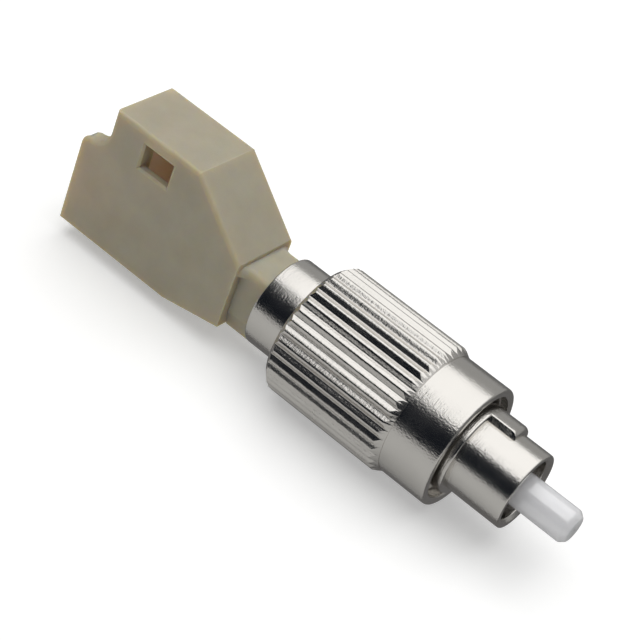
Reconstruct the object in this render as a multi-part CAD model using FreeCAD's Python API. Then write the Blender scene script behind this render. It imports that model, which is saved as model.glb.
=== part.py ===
# Hybrid fibre adapter: a 2.5 mm keyed plug with a coupling nut on one end and a
# 1.25 mm latching socket on the other.
# Frame: +X runs along the fibre from the socket to the plug's ferrule, +Z is the
# socket's latch side. The origin is on the fibre axis at the plug's seating face.
# All sizes are in millimetres.
# The most skilful features are the straight-knurled coupling nut, a turned shell
# with V flutes all round and a grooved bore, and the moulded socket housing.
import FreeCAD, Part
import math
import os

V = FreeCAD.Vector
AXIS = V(1, 0, 0)

# Distance at which two places count as the same
same_place = 1e-6

# Plug frame: the turned nose that enters the port
nose_radius = 2.88
nose_length = 4.3
nose_bore_radius = 2.3
nose_edge_radius = 0.28
nose_mouth_chamfer = 0.25
collar_length = 1.0
plug_body_length = 8.4
plug_body_bore_radius = 2.6
plug_body_wall = 0.65
plug_web_setback = 0.6
plug_web_thickness = 0.8
plug_web_hole_radius = 1.6
hex_pocket_depth = 2.2
hex_pocket_play = 0.1

# Key on the nose
key_width = 2.1
key_height = 0.47
key_length = 2.1
key_end_radius = 0.45
key_turn_degrees = 18.0

# Ferrules and the fibre between them
ferrule_radius = 1.25
ferrule_length = 13.0
ferrule_reach = 3.9
ferrule_tip_chamfer_length = 0.4
ferrule_tip_chamfer_depth = 0.32
stub_radius = 0.625
stub_tip_chamfer = 0.15
fibre_radius = 0.0625
guide_cone_radius = 0.4
guide_cone_length = 0.7

# Metal body that carries both ferrules
hex_flange_width = 4.2
hex_flange_thickness = 1.58
hex_flange_play = 0.02
carrier_wall = 0.35
carrier_end_wall = 0.3
tail_wall = 0.425
tail_clear_bore_radius = 0.35
stub_hold = 2.4
ferrule_travel = 1.0

# Compression spring behind the hexagonal flange
spring_wire_radius = 0.22
spring_side_clearance = 0.08
spring_turns = 7.5
spring_seat_gap = 0.01

# Back barrel: the plain metal tube behind the nut
barrel_radius = 3.4
barrel_length = 8.6
barrel_band_length = 4.2
barrel_wall = 0.65
barrel_waist_depth = 0.4
barrel_nose_length = 2.4
barrel_seat_thickness = 1.0
barrel_seat_hole_radius = 1.35
barrel_edge_chamfer = 0.12

# Coupling nut
nut_length = 13.6
nut_setback = 0.4
nut_crest_radius = 4.97
nut_skirt_radius = 4.62
nut_skirt_length = 3.75
nut_rear_chamfer = 0.4
nut_step_run = 0.58
nut_rim_chamfer = 0.22
flute_count = 38
flute_depth = 0.22
flute_land = 0.1
flute_root = 0.06
flute_turn_degrees = 4.0
nut_lip_length = 1.9
nut_lip_clearance = 0.08
nut_relief_radius = 3.8
nut_relief_length = 3.5
thread_radius = 3.6
thread_mouth_radius = 4.05
thread_mouth_length = 0.45

# Split retaining ring that turns in the nut's groove and slides on the waist
ring_thickness = 0.5
ring_side_play = 0.05
ring_groove_depth = 0.25
ring_groove_play = 0.08
ring_bore_clearance = 0.08
ring_gap = 1.4

# Socket housing: block
block_length = 14.7
block_side_wall = 0.64
roof_thickness = 0.95
floor_thickness = 1.39
roof_length = 7.62
slope_run = 5.05
slope_end_height = 2.6
underside_run = 4.75
underside_rise = 0.95
scoop_radius = 1.5
scoop_top_height = 5.0
lip_drop = 0.3
soft_edge_radius = 0.35
crisp_edge_radius = 0.1

# Socket housing: neck and spigot
neck_length = 2.2
neck_side = 2.25
neck_side_low = -1.55
neck_bottom = -2.88
neck_bottom_half = 1.85
neck_step = 0.3
neck_top_radius = 0.62
flare_length = 0.8
flare_thickness = 0.66
spigot_length = 4.0
spigot_end_chamfer = 0.3

# Socket cavity for the latching plug
cavity_half = 2.31
cavity_depth = 10.0
cavity_mouth_chamfer = 0.25
latch_room_height = 3.3
latch_slot_half = 1.65
latch_slot_height = 5.9
window_from_mouth = 4.95
window_length = 2.55
window_sill_height = 4.05
window_chamfer = 0.15

# Alignment sleeve, its holder and cap
sleeve_wall = 0.165
sleeve_bore_clearance = 0.02
sleeve_length = 6.6
sleeve_slit = 0.25
sleeve_end_play = 0.1
sleeve_side_play = 0.09
holder_wall = 0.4
holder_lip_thickness = 0.8
stub_clearance = 0.095
cap_overlap = 0.4
cap_thickness = 0.6

# Radii and heights that follow from the sizes above
collar_radius = nose_radius + key_height
plug_body_radius = plug_body_bore_radius + plug_body_wall
carrier_radius = ferrule_radius + carrier_wall
tail_radius = stub_radius + tail_wall
spring_mean_radius = carrier_radius + spring_side_clearance + spring_wire_radius
barrel_bore_radius = spring_mean_radius + spring_wire_radius + spring_side_clearance
barrel_waist_radius = barrel_radius - barrel_waist_depth
spigot_radius = barrel_radius - barrel_wall
ring_groove_radius = nut_relief_radius + ring_groove_depth
ring_outer_radius = ring_groove_radius - ring_groove_play
block_half_width = cavity_half + block_side_wall
roof_height = latch_slot_height + roof_thickness
floor_height = -cavity_half - floor_thickness
neck_top = slope_end_height - neck_step
sleeve_bore_radius = stub_radius + sleeve_bore_clearance
sleeve_radius = sleeve_bore_radius + sleeve_wall
holder_bore_radius = sleeve_radius + sleeve_side_play
holder_radius = holder_bore_radius + holder_wall
holder_lip_bore_radius = stub_radius + stub_clearance
cap_radius = holder_radius + cap_overlap

# Stations along the fibre, counted from the seating face at x = 0
nose_front = nose_length
ferrule_tip = nose_front + ferrule_reach
ferrule_back = ferrule_tip - ferrule_length
web_front = -plug_web_setback
web_back = web_front - plug_web_thickness
plug_rear = -plug_body_length
barrel_rear = plug_rear - barrel_length
waist_start = barrel_rear + barrel_band_length
barrel_seat_back = barrel_rear + spigot_length
barrel_seat_front = barrel_seat_back + barrel_seat_thickness
flange_front = web_back - hex_flange_play
flange_back = flange_front - hex_flange_thickness
carrier_back = ferrule_back - carrier_end_wall
block_end = barrel_rear - neck_length
mouth = block_end - block_length
cavity_end = mouth + cavity_depth
sleeve_start = cavity_end + holder_lip_thickness + sleeve_end_play
sleeve_end = sleeve_start + sleeve_length
cap_back = sleeve_end + sleeve_end_play
cap_front = cap_back + cap_thickness
tail_back = cap_front + ferrule_travel + sleeve_end_play
stub_front = tail_back + stub_hold
stub_tip = (sleeve_start + sleeve_end) / 2
nut_front = -nut_setback
nut_rear = nut_front - nut_length
knurl_front = nut_front - nut_skirt_length
groove_back = nut_rear + nut_lip_length
groove_front = groove_back + ring_thickness + 2 * ring_side_play


def revolved(points):
    """Solid of revolution about the fibre axis from (x, radius) corners."""
    corners = [V(x, 0, radius) for x, radius in points]
    face = Part.Face(Part.makePolygon(corners + corners[:1]))
    return face.revolve(V(0, 0, 0), AXIS, 360)


def rod(x_start, x_end, radius):
    return Part.makeCylinder(radius, x_end - x_start, V(x_start, 0, 0), AXIS)


def block(x_start, x_end, half_width, z_low, z_high):
    corner = V(x_start, -half_width, z_low)
    return Part.makeBox(x_end - x_start, 2 * half_width, z_high - z_low, corner)


def hexagon(x_start, x_end, width):
    """Hexagonal prism along the fibre with flats at top and bottom."""
    corner_radius = width / 2 / math.cos(math.pi / 6)
    corners = []
    for index in range(6):
        angle = index * math.pi / 3
        corners.append(V(x_start, corner_radius * math.cos(angle), corner_radius * math.sin(angle)))
    face = Part.Face(Part.makePolygon(corners + corners[:1]))
    return face.extrude(V(x_end - x_start, 0, 0))


def edges_where(shape, test):
    """Edges whose centre of gravity and two ends all pass the test."""
    chosen = []
    for edge in shape.Edges:
        points = [vertex.Point for vertex in edge.Vertexes] + [edge.CenterOfGravity]
        if all(test(point) for point in points):
            chosen.append(edge)
    return chosen


def plug_key():
    """Key on the nose: it carries the collar's radius forward and rounds off at its end."""
    half = key_width / 2
    flat = block(-collar_length / 2, key_length, half, nose_bore_radius + nose_mouth_chamfer, collar_radius)

    def on_end_corner(point):
        return point.x > key_length - same_place and point.z > collar_radius - same_place

    flat = flat.makeFillet(key_end_radius, edges_where(flat, on_end_corner))
    key = flat.common(rod(-collar_length / 2, key_length, collar_radius))
    key.rotate(V(0, 0, 0), AXIS, -key_turn_degrees)
    return key


def plug_frame():
    """Turned plug body: nose, seating collar and the sleeve that houses the spring."""
    outside = revolved([
        (plug_rear, 0),
        (plug_rear, plug_body_radius),
        (-collar_length, plug_body_radius),
        (-collar_length, collar_radius),
        (0, collar_radius),
        (0, nose_radius),
        (nose_front, nose_radius),
        (nose_front, 0),
    ])
    rim = edges_where(outside, lambda p: p.x > nose_front - same_place)
    outside = outside.makeFillet(nose_edge_radius, rim)
    body = outside.fuse(plug_key())
    front_bore = revolved([
        (web_front, 0),
        (web_front, nose_bore_radius),
        (nose_front - nose_mouth_chamfer, nose_bore_radius),
        (nose_front, nose_bore_radius + nose_mouth_chamfer),
        (nose_front, 0),
    ])
    pocket_back = web_back - hex_pocket_depth
    hex_pocket = hexagon(pocket_back, web_back, hex_flange_width + 2 * hex_pocket_play)
    rear_bore = rod(plug_rear, pocket_back, plug_body_bore_radius)
    web_hole = rod(web_back, web_front, plug_web_hole_radius)
    return body.cut([front_bore, hex_pocket, rear_bore, web_hole]).removeSplitter()


def back_barrel():
    """Tube that joins the plug frame to the socket housing and seats the spring."""
    nose_end = plug_rear + barrel_nose_length
    outside = revolved([
        (barrel_rear, 0),
        (barrel_rear, barrel_radius - barrel_edge_chamfer),
        (barrel_rear + barrel_edge_chamfer, barrel_radius),
        (waist_start - barrel_edge_chamfer, barrel_radius),
        (waist_start, barrel_radius - barrel_edge_chamfer),
        (waist_start, barrel_waist_radius),
        (plug_rear, barrel_waist_radius),
        (plug_rear, plug_body_bore_radius),
        (nose_end, plug_body_bore_radius),
        (nose_end, 0),
    ])
    spigot_bore = rod(barrel_rear, barrel_seat_back, spigot_radius)
    seat_hole = rod(barrel_seat_back, barrel_seat_front, barrel_seat_hole_radius)
    spring_bore = rod(barrel_seat_front, nose_end, barrel_bore_radius)
    return outside.cut([spigot_bore, seat_hole, spring_bore]).removeSplitter()


def flute():
    """One V groove with a narrow flat root, cut along the knurled part of the nut at the top."""
    pitch = 2 * math.pi * nut_crest_radius / flute_count
    half_mouth = (pitch - flute_land) / 2
    half_root = flute_root / 2
    overshoot = nut_crest_radius / 4
    spread = half_root + (half_mouth - half_root) * (flute_depth + overshoot) / flute_depth
    start = nut_rear - overshoot
    corners = [
        V(start, half_root, nut_crest_radius - flute_depth),
        V(start, spread, nut_crest_radius + overshoot),
        V(start, -spread, nut_crest_radius + overshoot),
        V(start, -half_root, nut_crest_radius - flute_depth),
    ]
    face = Part.Face(Part.makePolygon(corners + corners[:1]))
    return face.extrude(V(knurl_front - start, 0, 0))


def coupling_nut():
    """Knurled nut: fluted grip, plain skirt, threaded bore and the retaining ring's groove."""
    rear_edge = nut_crest_radius - nut_rear_chamfer
    outside = revolved([
        (nut_rear, 0),
        (nut_rear, rear_edge),
        (nut_rear + nut_rear_chamfer, nut_crest_radius),
        (knurl_front - nut_step_run, nut_crest_radius),
        (knurl_front, nut_skirt_radius),
        (nut_front - nut_rim_chamfer, nut_skirt_radius),
        (nut_front, nut_skirt_radius - nut_rim_chamfer),
        (nut_front, 0),
    ])
    flutes = []
    for index in range(flute_count):
        groove = flute()
        groove.rotate(V(0, 0, 0), AXIS, flute_turn_degrees + index * 360 / flute_count)
        flutes.append(groove)
    relief_end = groove_front + nut_relief_length
    lip_bore = barrel_radius + nut_lip_clearance
    inside = revolved([
        (nut_rear, 0),
        (nut_rear, lip_bore),
        (groove_back, lip_bore),
        (groove_back, ring_groove_radius),
        (groove_front, ring_groove_radius),
        (groove_front, nut_relief_radius),
        (relief_end, nut_relief_radius),
        (relief_end, thread_radius),
        (nut_front - thread_mouth_length, thread_radius),
        (nut_front, thread_mouth_radius),
        (nut_front, 0),
    ])
    return outside.cut(flutes + [inside]).removeSplitter()


def retaining_ring():
    """Split ring that holds the nut on the barrel's waist."""
    start = groove_back + ring_side_play
    end = start + ring_thickness
    bore = barrel_waist_radius + ring_bore_clearance
    band = rod(start, end, ring_outer_radius).cut(rod(start, end, bore))
    gap_corner = V(start, -ring_gap / 2, -ring_outer_radius)
    opening = Part.makeBox(ring_thickness, ring_gap, ring_outer_radius, gap_corner)
    return band.cut(opening)


def fc_ferrule():
    """2.5 mm ceramic ferrule with a chamfered tip and a guide cone for the fibre."""
    return revolved([
        (ferrule_back, guide_cone_radius),
        (ferrule_back, ferrule_radius),
        (ferrule_tip - ferrule_tip_chamfer_length, ferrule_radius),
        (ferrule_tip, ferrule_radius - ferrule_tip_chamfer_depth),
        (ferrule_tip, fibre_radius),
        (ferrule_back + guide_cone_length, fibre_radius),
    ])


def lc_stub_ferrule():
    """1.25 mm ceramic ferrule that meets the socket's plug inside the split sleeve."""
    return revolved([
        (stub_tip, fibre_radius),
        (stub_tip, stub_radius - stub_tip_chamfer),
        (stub_tip + stub_tip_chamfer, stub_radius),
        (stub_front, stub_radius),
        (stub_front, guide_cone_radius),
        (stub_front - guide_cone_length, fibre_radius),
    ])


def ferrule_carrier():
    """Metal body pressed on both ferrules; its hexagonal flange takes the spring."""
    flange = hexagon(flange_back, flange_front, hex_flange_width)
    shank = rod(carrier_back, flange_back, carrier_radius)
    tail = rod(tail_back, carrier_back, tail_radius)
    ferrule_seat = rod(ferrule_back, flange_front, ferrule_radius)
    clear_bore = rod(stub_front, ferrule_back, tail_clear_bore_radius)
    stub_seat = rod(tail_back, stub_front, stub_radius)
    body = flange.fuse([shank, tail])
    return body.cut([ferrule_seat, clear_bore, stub_seat]).removeSplitter()


def fibre_stub():
    """Glass fibre cemented through both ferrules, polished flush with their tips."""
    return rod(stub_tip, ferrule_tip, fibre_radius)


def ferrule_spring():
    """Helical compression spring between the barrel's seat and the hexagonal flange."""
    clearance = spring_wire_radius + spring_seat_gap
    start = barrel_seat_front + clearance
    height = flange_back - clearance - start
    helix = Part.makeHelix(height / spring_turns, height, spring_mean_radius)
    helix.rotate(V(0, 0, 0), V(0, 1, 0), 90)
    helix.translate(V(start, 0, 0))
    first = helix.Edges[0]
    begin = first.valueAt(first.FirstParameter)
    heading = first.tangentAt(first.FirstParameter)
    section = Part.Wire(Part.makeCircle(spring_wire_radius, begin, heading))
    return Part.Wire(helix.Edges).makePipeShell([section], True, True)


def block_outline():
    """Closed side outline of the housing block, with the scoop above its mouth."""
    roof_back = block_end - slope_run - roof_length
    scoop_centre = V(roof_back - scoop_radius, 0, scoop_top_height)
    scoop_low = scoop_centre + V(0, 0, -scoop_radius)
    diagonal = scoop_radius * math.sqrt(0.5)
    scoop_middle = scoop_centre + V(diagonal, 0, -diagonal)
    scoop_high = V(roof_back, 0, scoop_top_height)
    corners = [
        scoop_low,
        V(mouth, 0, scoop_low.z - lip_drop),
        V(mouth, 0, floor_height),
        V(block_end - underside_run, 0, floor_height),
        V(block_end, 0, floor_height + underside_rise),
        V(block_end, 0, slope_end_height),
        V(block_end - slope_run, 0, roof_height),
        V(roof_back, 0, roof_height),
        scoop_high,
    ]
    edges = [Part.LineSegment(a, b).toShape() for a, b in zip(corners, corners[1:])]
    edges.append(Part.Arc(scoop_high, scoop_middle, scoop_low).toShape())
    return Part.Wire(edges)


def housing_block():
    """Solid block: soft edges along the roof and scoop, crisp ones at the mouth and underside."""
    outline = block_outline()
    outline.translate(V(0, -block_half_width, 0))
    solid = Part.Face(outline).extrude(V(0, 2 * block_half_width, 0))
    lip_height = scoop_top_height - scoop_radius - lip_drop

    def on_side(point):
        return abs(point.y) > block_half_width - same_place

    def is_soft(point):
        return on_side(point) and point.z > min(lip_height, slope_end_height) - same_place

    soft = []
    crisp = []
    for edge in edges_where(solid, on_side):
        ends = [vertex.Point for vertex in edge.Vertexes]
        if all(is_soft(point) for point in ends):
            soft.append(edge)
        elif edge.BoundBox.XMin < block_end - same_place:
            crisp.append(edge)
    rounded = solid.makeFillet(soft_edge_radius, soft)
    crisp_now = []
    for edge in crisp:
        middle = edge.CenterOfGravity
        near = [e for e in rounded.Edges if e.CenterOfGravity.distanceToPoint(middle) < soft_edge_radius]
        crisp_now.append(min(near, key=lambda e: e.CenterOfGravity.distanceToPoint(middle)))
    return rounded.makeFillet(crisp_edge_radius, crisp_now)


def neck_flare():
    """Concave webs that widen the neck's top to the full block where the two meet."""
    spread = block_half_width - neck_side
    radius = (flare_length ** 2 + spread ** 2) / (2 * spread)
    centre = V(block_end + flare_length, neck_side + radius, 0)
    half_turn = math.asin(flare_length / radius) / 2
    middle = centre + V(-radius * math.sin(half_turn), -radius * math.cos(half_turn), 0)
    start = V(block_end, block_half_width, 0)
    end = V(block_end + flare_length, neck_side, 0)
    far = Part.Arc(start, middle, end).toShape()
    near = Part.Arc(V(end.x, -end.y, 0), V(middle.x, -middle.y, 0), V(start.x, -start.y, 0)).toShape()
    across = Part.LineSegment(end, V(end.x, -end.y, 0)).toShape()
    back = Part.LineSegment(V(start.x, -start.y, 0), start).toShape()
    plan = Part.Wire([far, across, near, back])
    plan.translate(V(0, 0, neck_top - flare_thickness))
    return Part.Face(plan).extrude(V(0, 0, flare_thickness))


def housing_neck():
    """Neck between the block and the barrel, and the spigot that the barrel is pressed on."""
    half_section = [
        (neck_bottom_half, neck_bottom),
        (neck_side, neck_side_low),
        (neck_side, neck_top),
    ]
    ring = half_section + [(-y, z) for y, z in reversed(half_section)]
    points = [V(block_end, y, z) for y, z in ring]
    neck = Part.Face(Part.makePolygon(points + points[:1])).extrude(V(neck_length, 0, 0))
    neck = neck.fuse(neck_flare()).removeSplitter()

    def on_top_edge(point):
        return abs(point.y) > neck_side - same_place and point.z > neck_top - same_place

    neck = neck.makeFillet(neck_top_radius, edges_where(neck, on_top_edge))
    spigot_end = barrel_rear + spigot_length
    spigot = revolved([
        (barrel_rear, 0),
        (barrel_rear, spigot_radius),
        (spigot_end - spigot_end_chamfer, spigot_radius),
        (spigot_end, spigot_radius - spigot_end_chamfer),
        (spigot_end, 0),
    ])
    return neck.fuse(spigot)


def mouth_rim(x, widening):
    """Upright outline of the bay's mouth, widened at both sides and below."""
    half = cavity_half + widening
    corners = [
        V(x, -half, -half),
        V(x, half, -half),
        V(x, half, latch_room_height),
        V(x, -half, latch_room_height),
    ]
    return Part.makePolygon(corners + corners[:1])


def socket_cavity():
    """Everything the latching plug needs: its square bay, the latch slot and the windows."""
    window_back = mouth + window_from_mouth
    window_front = window_back + window_length
    bay = block(mouth, cavity_end, cavity_half, -cavity_half, cavity_half)
    latch_room = block(mouth, window_front, cavity_half, 0, latch_room_height)
    latch_slot = block(mouth, window_front, latch_slot_half, 0, latch_slot_height)
    windows = block(window_back, window_front, 2 * block_half_width, window_sill_height, latch_slot_height)
    catch_room = block(window_back, window_front, cavity_half, 0, latch_slot_height)
    rims = [mouth_rim(mouth, cavity_mouth_chamfer), mouth_rim(mouth + cavity_mouth_chamfer, 0)]
    lead_in = Part.makeLoft(rims, True, True)
    return bay.fuse([lead_in, latch_room, latch_slot, windows, catch_room]).removeSplitter()


def lc_housing():
    """One moulding: socket block, neck and spigot, cut for the plug, latch and sleeve holder."""
    body = housing_block().fuse(housing_neck()).removeSplitter()
    holder_bore = rod(cavity_end, cap_back, holder_radius)
    cap_bore = rod(cap_back, barrel_rear + spigot_length, cap_radius)
    body = body.cut([socket_cavity(), holder_bore, cap_bore]).removeSplitter()
    window_back = mouth + window_from_mouth
    window_front = window_back + window_length

    def on_window_rim(point):
        along = window_back - same_place < point.x < window_front + same_place
        upright = window_sill_height - same_place < point.z < latch_slot_height + same_place
        return along and upright and abs(point.y) > block_half_width - same_place

    return body.makeChamfer(window_chamfer, edges_where(body, on_window_rim))


def lc_sleeve_holder():
    """Tube that holds the split sleeve, with a lip at the socket end."""
    return revolved([
        (cavity_end, holder_lip_bore_radius),
        (cavity_end, holder_radius),
        (cap_back, holder_radius),
        (cap_back, holder_bore_radius),
        (cavity_end + holder_lip_thickness, holder_bore_radius),
        (cavity_end + holder_lip_thickness, holder_lip_bore_radius),
    ])


def lc_sleeve_cap():
    """Disc that closes the holder and keeps the sleeve in."""
    return rod(cap_back, cap_front, cap_radius).cut(rod(cap_back, cap_front, holder_lip_bore_radius))


def lc_split_sleeve():
    """Slit ceramic sleeve that lines up the two 1.25 mm ferrules."""
    tube = rod(sleeve_start, sleeve_end, sleeve_radius).cut(rod(sleeve_start, sleeve_end, sleeve_bore_radius))
    slit = Part.makeBox(sleeve_length, sleeve_slit, sleeve_radius, V(sleeve_start, -sleeve_slit / 2, 0))
    return tube.cut(slit)


PIECES = {
    "lc_housing": lc_housing,
    "lc_sleeve_holder": lc_sleeve_holder,
    "lc_sleeve_cap": lc_sleeve_cap,
    "lc_split_sleeve": lc_split_sleeve,
    "back_barrel": back_barrel,
    "plug_frame": plug_frame,
    "fc_ferrule": fc_ferrule,
    "ferrule_carrier": ferrule_carrier,
    "lc_stub_ferrule": lc_stub_ferrule,
    "fibre_stub": fibre_stub,
    "ferrule_spring": ferrule_spring,
    "nut_retaining_ring": retaining_ring,
    "coupling_nut": coupling_nut,
}


def main():
    os.makedirs("parts", exist_ok=True)
    for node, build in PIECES.items():
        shape = build()
        shape.exportStep("parts/" + node + ".step")
        box = shape.BoundBox
        size = "%.2f x %.2f x %.2f" % (box.XLength, box.YLength, box.ZLength)
        print(node, "solids", len(shape.Solids), "valid", shape.isValid(), size, "volume %.3f" % shape.Volume)


main()
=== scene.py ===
"""Looks of a hybrid fibre adapter: a keyed metal plug with a knurled nut, and a moulded socket."""

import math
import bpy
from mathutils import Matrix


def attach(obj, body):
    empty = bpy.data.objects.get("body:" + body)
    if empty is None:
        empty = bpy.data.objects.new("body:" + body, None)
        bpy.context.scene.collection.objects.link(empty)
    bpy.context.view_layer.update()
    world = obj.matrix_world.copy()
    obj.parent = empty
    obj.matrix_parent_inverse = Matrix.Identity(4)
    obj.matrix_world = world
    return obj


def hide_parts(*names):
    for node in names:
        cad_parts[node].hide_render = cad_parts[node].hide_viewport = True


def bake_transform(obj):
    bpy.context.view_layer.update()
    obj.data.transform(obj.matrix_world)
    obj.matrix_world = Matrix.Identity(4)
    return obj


bl_info = {
    "name": "Hybrid Fibre Adapter",
    "version": (1, 0, 0),
    "blender": (4, 5, 0),
    "location": "3D View > Sidebar > Adapter",
    "description": "Builds the looks of a fibre adapter with a knurled coupling nut and a moulded socket",
    "category": "Object",
}

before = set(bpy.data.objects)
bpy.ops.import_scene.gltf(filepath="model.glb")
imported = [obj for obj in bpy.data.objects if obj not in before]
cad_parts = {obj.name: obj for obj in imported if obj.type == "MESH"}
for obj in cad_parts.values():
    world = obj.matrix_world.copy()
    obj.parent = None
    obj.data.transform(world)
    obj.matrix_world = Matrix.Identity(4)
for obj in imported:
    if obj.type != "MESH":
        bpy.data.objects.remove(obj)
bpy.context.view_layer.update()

import bmesh
import bpy
from mathutils import Matrix, Vector

MM = 0.001
# No place in the studio lies farther out than this
FARTHEST = 10.0

# How finely curved forms are divided
ROUNDING_STEPS = 4
FLANK_STEPS = 3
TURNED_SEGMENTS = 192
FERRULE_SEGMENTS = 128
THREAD_SEGMENTS = 72
COIL_SEGMENTS = 48
WIRE_SEGMENTS = 12

# Edges that bend by more than this stay sharp
SHARP_ANGLE = math.radians(38)
# Points closer than this are one point, within a part and between its repeated slices
SAME_POINT = 0.0001 * MM
SAME_SEAM_POINT = 0.001 * MM

# Metric thread: 60 degrees between its flanks, and a crest an eighth of the pitch wide
THREAD_FLANK = math.radians(30)
THREAD_CREST_SHARE = 1 / 8
# Share of the thread's length over which its ridge grows to full height, at either end
THREAD_RUN_OUT = 1 / 14

# Grain of the surface patterns along X, Y and Z. The plating's grain and the turning marks
# are drawn about four times as coarse as real ones, so that they show.
PLATING_GRAIN = Vector((0.13, 0.13, 0.13)) * MM
TURNING_RINGS = Vector((0.09, 1.8, 1.8)) * MM
CUTTER_CHATTER = Vector((0.2, 1.8, 1.8)) * MM
HANDLING_PATCHES = Vector((2.2, 2.2, 2.2)) * MM
MOULD_GRAIN = Vector((0.13, 0.13, 0.13)) * MM
PLASTIC_MOTTLE = Vector((1.7, 1.7, 1.7)) * MM

# The part of a noise pattern's range that nearly all of it lies in
NOISE_LOW = 0.3
NOISE_HIGH = 0.7

# Camera: where it stands, and its right and backward directions
CAMERA_PLACE = Vector((33.17, -100.55, 83.28)) * MM
CAMERA_RIGHT = Vector((0.7439, 0.5954, 0.3035))
CAMERA_BACK = Vector((0.3389, -0.7276, 0.5965))
SENSOR_WIDTH = 36.0
NEAREST_SEEN = 0.01

# Inputs that every tree with a helix has
HELIX_INPUTS = {
    "Turns": "Float",
    "Radius": "Float",
    "Length": "Float",
    "Start": "Float",
    "Points per turn": "Int",
    "Finish": "Material",
}


def length(name, description, millimetres, **limits):
    """A size that the user may change, given in millimetres and kept in metres."""
    return bpy.props.FloatProperty(
        name=name,
        description=description,
        default=millimetres * MM,
        unit="LENGTH",
        precision=5,
        **(limits or {"min": 0.0}),
    )


def station(name, description, millimetres):
    """A place counted from the plug's seating face or the fibre's axis, on either side of it."""
    return length(name, description, millimetres, min=-FARTHEST, max=FARTHEST)


def bearing(name, description, degrees):
    """An angle that the user may change."""
    return bpy.props.FloatProperty(
        name=name, description=description, default=math.radians(degrees), subtype="ANGLE"
    )


def brightness(name, description, value):
    """A plain level, where 1 is white."""
    return bpy.props.FloatProperty(name=name, description=description, default=value, min=0.0)


def linear(hex_colour):
    """Linear RGBA of an sRGB hex colour."""
    channels = []
    for start in (0, 2, 4):
        value = int(hex_colour[start:start + 2], 16) / 255
        channels.append(value / 12.92 if value <= 0.04045 else ((value + 0.055) / 1.055) ** 2.4)
    return (*channels, 1.0)


def colour(name, description, hex_colour):
    """A colour that the user may change."""
    return bpy.props.FloatVectorProperty(
        name=name,
        description=description,
        default=linear(hex_colour),
        size=4,
        min=0.0,
        max=1.0,
        subtype="COLOR",
    )


class NutSizes(bpy.types.PropertyGroup):
    """Sizes of the knurled coupling nut."""

    rear: station("Rear face", "Where the knurled end stops", -14.0)
    front: station("Front face", "Where the skirt's rim stops", -0.4)
    knurl_front: station("Knurl front", "Where the knurl meets the skirt", -4.15)
    crest_radius: length("Crest radius", "Radius over the flutes", 4.97)
    skirt_radius: length("Skirt radius", "Radius of the plain skirt", 4.62)
    rear_chamfer: length("Rear chamfer", "Chamfer at the knurled end", 0.4)
    step_run: length("Step run", "Length of the cone between knurl and skirt", 0.58)
    step_groove_width: length("Step groove width", "Width of the turned groove at the cone's foot", 0.1)
    step_groove_depth: length("Step groove depth", "Depth of the turned groove at the cone's foot", 0.04)
    rim_rounding: length("Rim rounding", "Rounding of the skirt's front rim", 0.3)
    flutes: bpy.props.IntProperty(name="Flutes", description="Number of V flutes", default=38, min=3)
    flute_depth: length("Flute depth", "Depth of the V flutes", 0.22)
    flute_land: length("Flute land", "Flat left on each crest", 0.1)
    flute_root: length("Flute root", "Flat at the bottom of each flute", 0.06)
    flute_turn: bearing("Flute turn", "Angle of the first flute from the latch side", 4)
    mouth_radius: length("Mouth radius", "Radius of the threaded mouth's edge", 4.1)
    thread_root_radius: length("Thread root radius", "Radius at the bottom of the thread", 4.0)
    thread_crest_radius: length("Thread crest radius", "Radius at the thread's crest", 3.6)
    thread_pitch: length("Thread pitch", "Distance from one turn to the next", 0.75)
    thread_end: station("Thread end", "Where the thread stops inside", -8.0)
    thread_inset: length("Thread inset", "How far behind the rim the thread starts", 0.6)
    thread_bite: length("Thread bite", "How far the thread's foot reaches into the wall", 0.04)
    relief_radius: length("Relief radius", "Radius behind the thread", 3.8)
    groove_front: station("Groove front", "Front wall of the ring's groove", -11.5)
    groove_back: station("Groove back", "Rear wall of the ring's groove", -12.1)
    groove_radius: length("Groove radius", "Bottom of the ring's groove", 4.05)
    lip_radius: length("Lip radius", "Bore at the knurled end", 3.48)
    edge_rounding: length("Edge rounding", "Rounding of the lip's edge, half that of the mouth's", 0.05)


class BarrelSizes(bpy.types.PropertyGroup):
    """Sizes of the plain tube behind the nut."""

    rear: station("Rear face", "Where the tube meets the housing's neck", -17.0)
    band_end: station("Band end", "Where the thick band steps down", -12.8)
    waist_end: station("Waist end", "Where the tube enters the plug frame", -8.4)
    nose_end: station("Nose end", "Front end of the tube", -6.0)
    seat_front: station("Seat front", "Front of the spring seat", -12.0)
    seat_back: station("Seat back", "Back of the spring seat", -13.0)
    radius: length("Radius", "Outer radius of the band", 3.4)
    waist_radius: length("Waist radius", "Outer radius of the waist", 3.0)
    nose_radius: length("Nose radius", "Outer radius inside the plug frame", 2.6)
    spigot_radius: length("Spigot radius", "Bore over the housing's spigot", 2.75)
    spring_bore_radius: length("Spring bore radius", "Bore round the spring", 2.2)
    seat_hole_radius: length("Seat hole radius", "Hole through the spring seat", 1.35)
    edge_rounding: length("Edge rounding", "Rounding of the turned edges", 0.12)


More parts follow.
